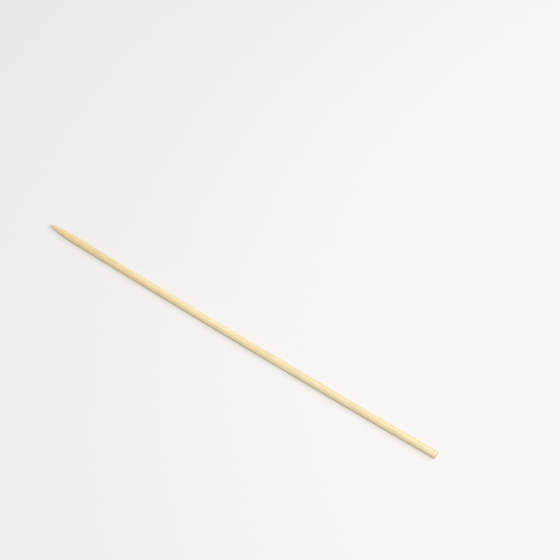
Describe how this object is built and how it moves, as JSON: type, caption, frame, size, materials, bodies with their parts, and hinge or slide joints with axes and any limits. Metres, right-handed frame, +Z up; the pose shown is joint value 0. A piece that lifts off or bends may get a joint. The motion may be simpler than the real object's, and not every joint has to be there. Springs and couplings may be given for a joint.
{
  "type": "bamboo skewer",
  "caption": "Round bamboo stick with a ground point at one end and a square sawn end at the other, lying on its side with a slight sideways bow.",
  "frame": {"origin": "under the middle of the stick's bounding box, on the surface that it lies on", "axes": "+X along the stick from its point to its sawn end, +Z up, and the middle of the stick bows towards -Y"},
  "size_m": [0.25, 0.0048, 0.0038],
  "materials": {
    "bamboo": "bare bamboo, tumbled smooth, with a faint satin sheen and fine fibre lines along it"
  },
  "bodies": {
    "root": {"skewer": "bamboo"}
  },
  "joints": []
}
